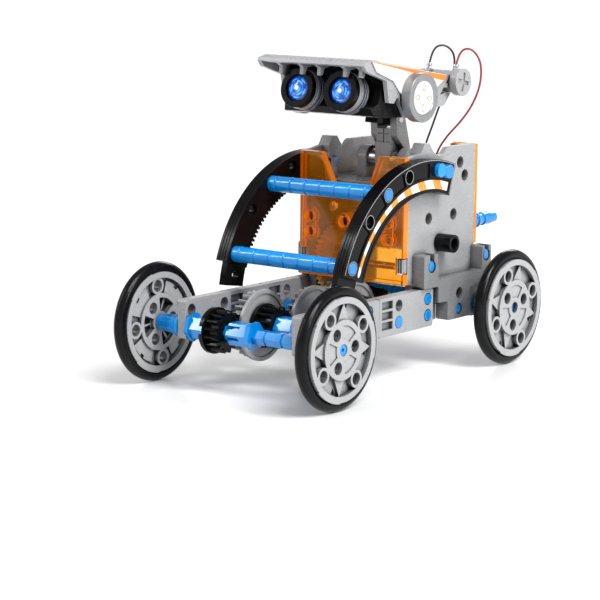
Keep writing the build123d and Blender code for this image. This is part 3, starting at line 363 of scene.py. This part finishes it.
def solar_glass():
    """The panel's clear resin over a dark backing."""
    look = Look("solar_backing", (0.02, 0.022, 0.03), 0.08, Coat_Weight=1.0, Coat_Roughness=0.04)
    drift = look.noise(0.2, 3.0)
    look.set("Base Color", look.mix(drift, (0.014, 0.016, 0.024), (0.03, 0.034, 0.05)))
    return look


def solar_silicon():
    """Polycrystalline cells: blue facets under glass with printed silver fingers."""
    look = Look("solar_silicon", (0.02, 0.05, 0.22), 0.12, Coat_Weight=1.0, Coat_Roughness=0.03,
                Metallic=0.2)
    finger_pitch = 1.25
    facets = look.tree.nodes.new("ShaderNodeTexVoronoi")
    facets.inputs["Scale"].default_value = 0.55
    look.feed(facets.inputs["Vector"], look.place)
    facet = look.parts(facets.outputs["Color"])["X"]
    blue_tone = look.mix(facet, (0.006, 0.022, 0.12), (0.02, 0.075, 0.34))
    finger = look.math("FRACT", look.math("MULTIPLY", head_point(look)["X"], 1 / finger_pitch))
    line = look.math("MULTIPLY", look.step(0.09, 0.07, finger), 0.55)
    look.set("Base Color", look.mix(line, blue_tone, (0.42, 0.45, 0.5)))
    look.set("Roughness", look.step(0.0, 1.0, facet, 0.1, 0.2))
    return look


def sleeve(name, colour, shade):
    """Thin PVC wire sleeve, a little glossy, with slow colour drift along it."""
    look = Look(name, colour, 0.3, Coat_Weight=0.2, Coat_Roughness=0.2)
    look.set("Base Color", look.mix(look.noise(0.25, 2.0), shade, colour))
    look.set("Roughness", look.step(0.3, 0.7, look.noise(1.2, 2.0), 0.24, 0.4))
    look.set("Normal", look.bump(look.noise(3.0, 1.0), 0.01, 0.4))
    return look


silver = silver_trim()
eye_silver = eye_trim()
tyre = rubber()
orange = clear_orange()
iris = glowing_iris()
stripes = striped_print()
backing = solar_glass()
silicon = solar_silicon()
wire_black = sleeve("wire_black", (0.018, 0.018, 0.02), (0.01, 0.01, 0.011))
wire_red = sleeve("wire_red", (0.30, 0.012, 0.03), (0.20, 0.008, 0.02))

SLOT_LOOKS = {
    "grey_plastic": grey, "dark_grey_plastic": dark_grey, "blue_plastic": blue,
    "orange_clear": orange, "black_plastic": black, "tyre_rubber": tyre, "steel": steel,
    "white_plastic": white, "amber_plastic": amber, "brass": brass, "silver_trim": silver,
    "eye_blue": iris, "solar_cells": backing, "wire_black": wire_black, "wire_red": wire_red,
}
NODE_LOOKS = {"eye_rings": eye_silver, "front_hubs": hub_grey, "rear_hubs": hub_grey}

# ---- the frame's own parts: better materials and softened edges ---------------------------
EDGE = 0.22                     # usual edge radius of the mouldings, in millimetres
EDGES = {
    "front_tyres": 0, "rear_tyres": 0, "eye_lenses": 0, "black_wire": 0, "red_wire": 0,
    "eye_rings": 0.06, "ear_faces": 0.1, "terminal_posts": 0.08, "gear_1": 0.1, "gears_2": 0.1,
    "gear_3": 0.1, "gear_4": 0.1, "pinion_1": 0.1, "pinion_3": 0.1, "pinion_4": 0.1,
    "axle_pinion": 0.1, "compound_gear": 0.08, "motor_pinion": 0.06, "cheek_panels": 0.12,
    "solar_panel": 0.1, "front_hubs": 0.16, "rear_hubs": 0.16, "ear_rings": 0.9,
    "drum_caps": 0.4, "side_bushes": 0.25, "brackets": 0.6, "arch_pegs": 0.8, "rail_pegs": 0.4,
    "bracket_pegs": 0.6, "cross_bars": 0.3,
}


def round_edges(piece, radius, sharp):
    """Rounds the edges where the surface turns by more than sharp degrees."""
    edge = piece.modifiers.new("edges", "BEVEL")
    edge.width = radius * MM
    edge.segments = 2
    edge.limit_method = "ANGLE"
    edge.angle_limit = math.radians(sharp)


def soften(piece, radius):
    """Joins the faces that come split in model.glb, then, given a radius, rounds every sharp edge."""
    weld = piece.modifiers.new("join", "WELD")
    weld.merge_threshold = 0.002 * MM
    flat = piece.modifiers.new("flats", "DECIMATE")
    flat.decimate_type = "DISSOLVE"
    flat.angle_limit = math.radians(0.6)
    if radius:
        round_edges(piece, radius, 32)
        shade = piece.modifiers.new("shade", "WEIGHTED_NORMAL")
        shade.keep_sharp = False
        shade.weight = 60


for entry in frame["record"]["subparts"]:
    piece = nodes[entry["node"]]
    look = NODE_LOOKS.get(entry["node"], SLOT_LOOKS[entry["material_slot"]])
    if not piece.material_slots:
        piece.data.materials.append(None)
    for slot in piece.material_slots:
        slot.material = look.material
    soften(piece, EDGES.get(entry["node"], EDGE))


# ---- tools for new pieces, in millimetres -------------------------------------------------
SAME_POINT = 1e-5               # points this near each other are one


def piece_from(name, bm, look):
    """Turns a bmesh into an object of the scene."""
    mesh = bpy.data.meshes.new(name)
    bm.to_mesh(mesh)
    bm.free()
    mesh.materials.append(look.material)
    piece = bpy.data.objects.new(name, mesh)
    scene.collection.objects.link(piece)
    return piece


def add(name, bm, look, body, matrix=None, bevel=0.0):
    """Turns a bmesh in millimetres into a piece that rides on a body."""
    bm.transform(Matrix.Scale(MM, 4) @ (matrix or Matrix.Identity(4)))
    bmesh.ops.recalc_face_normals(bm, faces=bm.faces)
    piece = piece_from(name, bm, look)
    if bevel:
        round_edges(piece, bevel, 35)
    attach(piece, body)


def unit(angle):
    """The direction at an angle in degrees, as its cosine and sine."""
    return math.cos(math.radians(angle)), math.sin(math.radians(angle))


def ramp(value, low, high):
    """0 up to low, 1 from high on, and even between them."""
    return min(max((value - low) / (high - low), 0), 1)


def loft(bm, rows, capped=True):
    """Joins rows of points, each a closed outline, with quads; capped fills both ends."""
    made = [[bm.verts.new(point) for point in row] for row in rows]
    for one, two in zip(made[:-1], made[1:]):
        for k in range(len(one)):
            n = (k + 1) % len(one)
            bm.faces.new((one[k], one[n], two[n], two[k]))
    if capped:
        bm.faces.new(made[0])
        bm.faces.new(made[-1])
    return made


def prism(bm, outline, lift):
    """Extrudes an outline of 3-D points by a vector."""
    base = [bm.verts.new(point) for point in outline]
    top = [bm.verts.new(Vector(point) + Vector(lift)) for point in outline]
    bm.faces.new(base)
    bm.faces.new(list(reversed(top)))
    for k in range(len(base)):
        n = (k + 1) % len(base)
        bm.faces.new((base[k], base[n], top[n], top[k]))


def section(centre, angle, r0, r1, x0, x1):
    """A strip's four corners at an angle round a centre, in the plane of a side."""
    c, s = unit(angle)
    return [(x, centre[0] + r * c, centre[1] + r * s)
            for x, r in ((x0, r0), (x1, r0), (x1, r1), (x0, r1))]


def arc_strip(bm, centre, r0, r1, a0, a1, x0, x1, steps):
    """A thin solid strip bent round a centre in the plane of a side, x0 to x1 thick."""
    loft(bm, [section(centre, a0 + (a1 - a0) * k / steps, r0, r1, x0, x1)
              for k in range(steps + 1)])


def circle_strip(bm, centre, r0, r1, x0, x1, steps=40):
    """The same strip all the way round."""
    rows = [section(centre, 360 * k / steps, r0, r1, x0, x1) for k in range(steps)]
    loft(bm, rows + rows[:1], capped=False)
    bmesh.ops.remove_doubles(bm, verts=bm.verts, dist=SAME_POINT)


def skin(side, face, under=0.02, over=0.05):
    """The two x values of a thin layer on a side face, from just under it to just over it."""
    return side * (face - under), side * (face + over)


# ---- prints on the arches -----------------------------------------------------------------
LINE_ANGLES = (71.6, 161.0)     # the pinstripe's ends
LINE_RADII = (61.0, 61.2)
LINE_FOOT = 48.4                # radius that the line across the arch's rear end runs in to
LINE_WIDTH = 0.2                # degrees that it takes up
SOCKET_LINE = (2.75, 2.92)      # radii of the circle round a socket
BAND_ANGLES = (73.8, 160.0)
BAND_INNER, BAND_OUTER = 49.2, 52.9
BAND_GROOVE = 0.25              # depth of the groove that the band lies in
BAND_ROUND = 1.4                # degrees taken up by its rounded front end
ARC_STEPS = 90


def arch_lines(side):
    """Pinstripes along the rim, across the rear end and round the four sockets."""
    lines = bmesh.new()
    faces = skin(side, ARCH_FACE)
    start, end = LINE_ANGLES
    arc_strip(lines, ARCH_CENTRE, *LINE_RADII, start, end, *faces, ARC_STEPS)
    arc_strip(lines, ARCH_CENTRE, LINE_FOOT, LINE_RADII[1], start - LINE_WIDTH, start, *faces, 1)
    for angle in BAR_ANGLES + OPEN_ANGLES:
        c, s = unit(angle)
        socket = (ARCH_CENTRE[0] + ARCH_HOLES * c, ARCH_CENTRE[1] + ARCH_HOLES * s)
        circle_strip(lines, socket, *SOCKET_LINE, *faces)
    return lines


def arch_stripe(side):
    """The striped band, which narrows as it comes down and ends in a round."""
    band = bmesh.new()
    faces = skin(side, ARCH_FACE - BAND_GROOVE, over=0.13)
    first, last = BAND_ANGLES
    rows = []
    for k in range(ARC_STEPS + 1):
        angle = first + (last - first) * k / ARC_STEPS
        inner = BAND_INNER + 1.3 * ramp(angle, 98, 115) + 0.6 * ramp(angle, 126, 150)
        outer = BAND_OUTER - 0.3 * ramp(angle, 98, 115)
        past = ramp(angle, last - BAND_ROUND, last)
        pinch = 0.5 * (outer - inner) * (1 - math.sqrt(max(1 - past * past, 0.04)))
        rows.append(section(ARCH_CENTRE, angle, inner + pinch, outer - pinch, *faces))
    loft(band, rows)
    return band


# ---- prints on the head, in its level frame -----------------------------------------------
RIBBON = ((-55.4, 15.95), (-1.95, 19.95), (-3.2, 17.4), (-40.0, 16.3), (-55.4, 15.75))  # y, z
DROPS = 4
DROP_TURN = 8                   # degrees that the drops are turned by round the ear
DROP_PLACE = 4.4                # from the ear's middle to a drop's middle
DROP_OUTER = (1.35, 1.7)        # half width and half length
DROP_INNER = (0.95, 1.28)
DROP_POINTS = 24


def cheek_ribbon(side):
    """The orange line along a cheek, broad at the back and fine at the front."""
    ribbon = bmesh.new()
    prism(ribbon, [(side * CHEEK_FACE, y, z) for y, z in RIBBON], (side * 0.08, 0, 0))
    return ribbon


def drop(half_width, half_length):
    """The y and z of a drop's outline over the ear's middle, its broad end inward."""
    outline = []
    for n in range(DROP_POINTS):
        c, s = unit(360 * n / DROP_POINTS)
        outline.append((half_width * c * (0.72 - 0.28 * s), DROP_PLACE + half_length * s))
    return outline


def ear_marks(side):
    """Gold outlines of four drops round the ear's middle."""
    marks = bmesh.new()
    x0, x1 = skin(side, EAR_FACE, over=0.06)
    rows = [[(x0, *i), (x1, *i), (x1, *o), (x0, *o)]
            for i, o in zip(drop(*DROP_INNER), drop(*DROP_OUTER))]
    for k in range(DROPS):
        made = loft(marks, rows + rows[:1], capped=False)
        spin = Matrix.Rotation(math.radians(360 / DROPS * k + DROP_TURN), 4, "X")
        bmesh.ops.transform(marks, matrix=Matrix.Translation((0, EAR_Y, EAR_Z)) @ spin,
                            verts=[vert for row in made for vert in row])
    bmesh.ops.remove_doubles(marks, verts=marks.verts, dist=SAME_POINT)
    return marks


for side, hand in SIDES:
    add(f"arch_lines_{hand}", arch_lines(side), pinstripe, "chassis")
    add(f"arch_stripe_{hand}", arch_stripe(side), stripes, "chassis")
    add(f"cheek_ribbon_{hand}", cheek_ribbon(side), orange_print, "head", HEAD)
    add(f"ear_marks_{hand}", ear_marks(side), gold_print, "head", HEAD)

# ---- the solar panel's cells and busbars, in the head's level frame -----------------------
CELL_COLUMNS, CELL_ROWS = 4, 3
FIRST_CELL = (-22.6, -49.6)     # x, y of its corner
CELL_PITCH = (11.4, 15.6)
CELL_SIZE = (11.0, 15.2)
CELL_CUT = 0.9                  # cut off each corner
CELL_Z = ROOF_Z + 0.25          # the panel's face
CELL_THICK, CELL_SUNK = 0.08, 0.02
BUSBARS = (3.4, 7.6)            # from a cell's edge to its two busbars
BUSBAR_HALF_WIDTH = 0.22
BUSBAR_ENDS = (-50.4, -2.8)     # y
BUSBAR_THICK = 0.05


def cell_outline(x, y):
    """A cell's outline from its corner at x, y: a rectangle with its corners cut off."""
    (w, d), cut = CELL_SIZE, CELL_CUT
    return [(x + cut, y), (x + w - cut, y), (x + w, y + cut), (x + w, y + d - cut),
            (x + w - cut, y + d), (x + cut, y + d), (x, y + d - cut), (x, y + cut)]


def busbar_outline(x):
    """A busbar's outline, centred on x."""
    x0, x1 = x - BUSBAR_HALF_WIDTH, x + BUSBAR_HALF_WIDTH
    y0, y1 = BUSBAR_ENDS
    return [(x0, y0), (x1, y0), (x1, y1), (x0, y1)]


cells, bars = bmesh.new(), bmesh.new()
for column in range(CELL_COLUMNS):
    x = FIRST_CELL[0] + CELL_PITCH[0] * column
    for row in range(CELL_ROWS):
        outline = cell_outline(x, FIRST_CELL[1] + CELL_PITCH[1] * row)
        prism(cells, [(*point, CELL_Z - CELL_SUNK) for point in outline], (0, 0, CELL_THICK))
    for offset in BUSBARS:
        outline = busbar_outline(x + offset)
        prism(bars, [(*point, CELL_Z + BUSBAR_THICK) for point in outline], (0, 0, BUSBAR_THICK))
add("solar_cells", cells, silicon, "head", HEAD)
add("solar_busbars", bars, steel, "head", HEAD)

# ---- painted shade: black rings round the pegs, for the shade in their gaps ---------------
SHADE_RING = (2.3, 2.62)               # radii of the painted shade rings
UPPER_ROW = SHAFT_Z + 7.0       # height of the pegs above the layshafts
RAIL_PEGS = ((SHAFT_Y[4], UPPER_ROW), (SHAFT_Y[4], SHAFT_Z), (SHAFT_Y[3], SHAFT_Z),
             (SHAFT_Y[2], UPPER_ROW))
BRACKET_PEGS = ((22.6, 45.8), (64.4, 46.2))     # y, z
BRACKET_SHADE_ARC = (132, 408)        # degrees that the painted shade runs through, open at the peg's top

for side, hand in SIDES:
    gap_shade = bmesh.new()
    for place in RAIL_PEGS:
        circle_strip(gap_shade, place, *SHADE_RING, *skin(side, RAIL_FACE))
    for place in BRACKET_PEGS:
        arc_strip(gap_shade, place, *SHADE_RING, *BRACKET_SHADE_ARC, *skin(side, BRACKET_FACE, under=0.03), 36)
    add(f"peg_gap_shade_{hand}", gap_shade, black, "chassis")

# ---- grey clips in the front cover's slots ------------------------------------------------
CLIP_LOW, CLIP_HIGH = 43.4, 49.6
CLIP_BACK = 13.0                # y
CLIP_BLOCK = (23.6, 27.2, 10.9)                                         # x, x, front y
CLIP_TEETH = [(23.9 + 1.2 * k, 24.5 + 1.2 * k, 10.3) for k in range(3)]

clips = bmesh.new()
for side in (-1, 1):
    for x0, x1, y0 in (CLIP_BLOCK, *CLIP_TEETH):
        prism(clips, [(side * x, y0, z) for x, z in ((x0, CLIP_LOW), (x1, CLIP_LOW),
                                                     (x1, CLIP_HIGH), (x0, CLIP_HIGH))],
              (0, CLIP_BACK - y0, 0))
add("cover_clips", clips, grey, "chassis", bevel=0.25)


# ---- the two wires ------------------------------------------------------------------------
WIRE_R = 0.45 * MM
WIRE_SIDES = 12
LOWER_LENGTH = 0.034            # metres of each wire in its lower length
BLACK_ROUTE = [(13.2, 47.8, 129.5), (13.4, 49.3, 135.4), (16.6, 53.0, 137.6), (20.0, 56.2, 134.2),
               (19.4, 58.0, 127.0), (16.4, 57.0, 118.6), (13.8, 54.4, 110.0), (12.4, 51.6, 101.6),
               (10.8, 48.6, 93.6), (9.6, 47.0, 82.6)]
RED_ROUTE = [(27.0, 47.8, 129.5), (27.4, 49.2, 135.2), (31.6, 52.2, 136.6), (35.4, 54.4, 130.6),
             (34.6, 55.4, 121.0), (31.0, 55.0, 112.0), (26.0, 53.6, 104.6), (20.6, 51.4, 98.4),
             (16.6, 48.8, 91.0), (15.6, 47.0, 82.6)]


def spline_points(route):
    """Points along the route's smooth line, in metres."""
    curve = bpy.data.curves.new("route", "CURVE")
    curve.dimensions = "3D"
    spline = curve.splines.new("NURBS")
    spline.points.add(len(route) - 1)
    for point, place in zip(spline.points, route):
        point.co = (*[value * MM for value in place], 1.0)
    spline.order_u = 3
    spline.use_endpoint_u = True
    spline.resolution_u = 14
    line = bpy.data.objects.new("route", curve)
    scene.collection.objects.link(line)
    bpy.context.view_layer.update()
    depsgraph = bpy.context.evaluated_depsgraph_get()
    mesh = bpy.data.meshes.new_from_object(line.evaluated_get(depsgraph))
    points = [vert.co.copy() for vert in mesh.vertices]
    bpy.data.objects.remove(line)
    return points


def tube(name, points, look):
    """A round tube along the points, its section carried along without twist."""
    bm = bmesh.new()
    ahead = (points[1] - points[0]).normalized()
    out = ahead.orthogonal().normalized()
    rows = []
    for k, point in enumerate(points):
        before, after = points[max(k - 1, 0)], points[min(k + 1, len(points) - 1)]
        new = (after - before).normalized()
        out = ahead.rotation_difference(new) @ out
        ahead = new
        across = ahead.cross(out)
        rows.append([point + WIRE_R * (out * c + across * s)
                     for c, s in (unit(360 * n / WIRE_SIDES) for n in range(WIRE_SIDES))])
    loft(bm, rows)
    bmesh.ops.recalc_face_normals(bm, faces=bm.faces)
    for face in bm.faces:
        face.smooth = len(face.verts) == 4
    piece = piece_from(name, bm, look)
    return piece


def path_length(points):
    """The length along the points."""
    return sum((b - a).length for a, b in zip(points, points[1:]))


def hang(colour, route, look, node):
    """A wire made in two lengths, upper and lower, which hides the model's own wire."""
    points = spline_points(route)
    half = next(k for k in range(len(points)) if path_length(points[k:]) < LOWER_LENGTH)
    upper, lower = points[:half + 1], points[half:]
    top = tube(f"{colour}_wire_upper", upper, look)
    foot = tube(f"{colour}_wire_lower", lower, look)
    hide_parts(node)
    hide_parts(node)
    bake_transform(top)
    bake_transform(foot)


hang("black", BLACK_ROUTE, wire_black, "black_wire")
hang("red", RED_ROUTE, wire_red, "red_wire")

# ---- camera, in metres --------------------------------------------------------------------
CAMERA_PLACE = (0.54894, -0.73257, 0.19174)
CAMERA_RIGHT = (0.78932, 0.61394, 0.00729)      # the camera's own x axis
CAMERA_UP = (-0.11205, 0.13236, 0.98485)        # its y axis
CAMERA_BACK = (0.60367, -0.77818, 0.17326)      # its z axis, away from the object

camera_data = bpy.data.cameras.new("camera")
camera_data.sensor_width = 36.0                 # millimetres, as is the lens
camera_data.lens = 131.38
camera_data.clip_start, camera_data.clip_end = 0.05, 20.0
camera = bpy.data.objects.new("camera", camera_data)
rows = zip(CAMERA_RIGHT, CAMERA_UP, CAMERA_BACK, CAMERA_PLACE)
camera.matrix_world = Matrix((*rows, (0, 0, 0, 1)))
scene.collection.objects.link(camera)
scene.camera = camera

# ---- floor and light, in metres -----------------------------------------------------------
floor_bm = bmesh.new()
bmesh.ops.create_grid(floor_bm, x_segments=2, y_segments=2, size=30.0)
floor_look = Look("floor_white", (0.88, 0.88, 0.88), 0.18, Specular_IOR_Level=0.28)
piece_from("floor", floor_bm, floor_look)

# The sky is white: From is how high a direction points, and To is how bright it is there.
SKY = {"From Min": 0.06, "From Max": 0.40, "To Min": 1.15, "To Max": 0.34}

world = bpy.data.worlds.new("studio")
scene.world = world
world.use_nodes = True
sky = world.node_tree
background = sky.nodes["Background"]
background.inputs["Color"].default_value = (1.0, 1.0, 1.0, 1.0)
height = sky.nodes.new("ShaderNodeSeparateXYZ")
sky.links.new(sky.nodes.new("ShaderNodeTexCoord").outputs["Generated"], height.inputs[0])
fade = sky.nodes.new("ShaderNodeMapRange")
for name, value in SKY.items():
    fade.inputs[name].default_value = value
sky.links.new(height.outputs["Z"], fade.inputs["Value"])
sky.links.new(fade.outputs[0], background.inputs["Strength"])


def hang_light(name, data, place, target):
    """Puts a light in the scene, pointing from its place at its target."""
    light = bpy.data.objects.new(name, data)
    scene.collection.objects.link(light)
    light.location = place
    light.rotation_mode = "QUATERNION"
    light.rotation_quaternion = (Vector(target) - Vector(place)).to_track_quat("-Z", "Y")


def sun(name, direction, strength, width):
    """Even light from a direction, from a disc that looks width degrees wide."""
    data = bpy.data.lights.new(name, "SUN")
    data.energy = strength
    data.angle = math.radians(width)
    hang_light(name, data, direction, (0, 0, 0))


def softbox(name, place, target, size, power):
    """A rectangular light; its size is its width and height."""
    data = bpy.data.lights.new(name, "AREA")
    data.shape = "RECTANGLE"
    data.size, data.size_y = size
    data.energy = power
    hang_light(name, data, place, target)


sun("key", (0.55, -0.16, 0.82), strength=2.75, width=30)
sun("fill", (-0.40, -0.66, 0.64), strength=0.32, width=50)
softbox("strip_left", (-0.55, -0.50, 0.50), (0, 0, 0.06), size=(0.06, 0.5), power=1.4)
softbox("strip_right", (0.60, -0.05, 0.45), (0, 0, 0.07), size=(0.08, 0.5), power=3.2)
softbox("back", (-0.25, 0.80, 0.50), (0, 0, 0.08), size=(0.5, 0.2), power=2.5)

scene.view_settings.view_transform = "Standard"
scene.view_settings.look = "None"
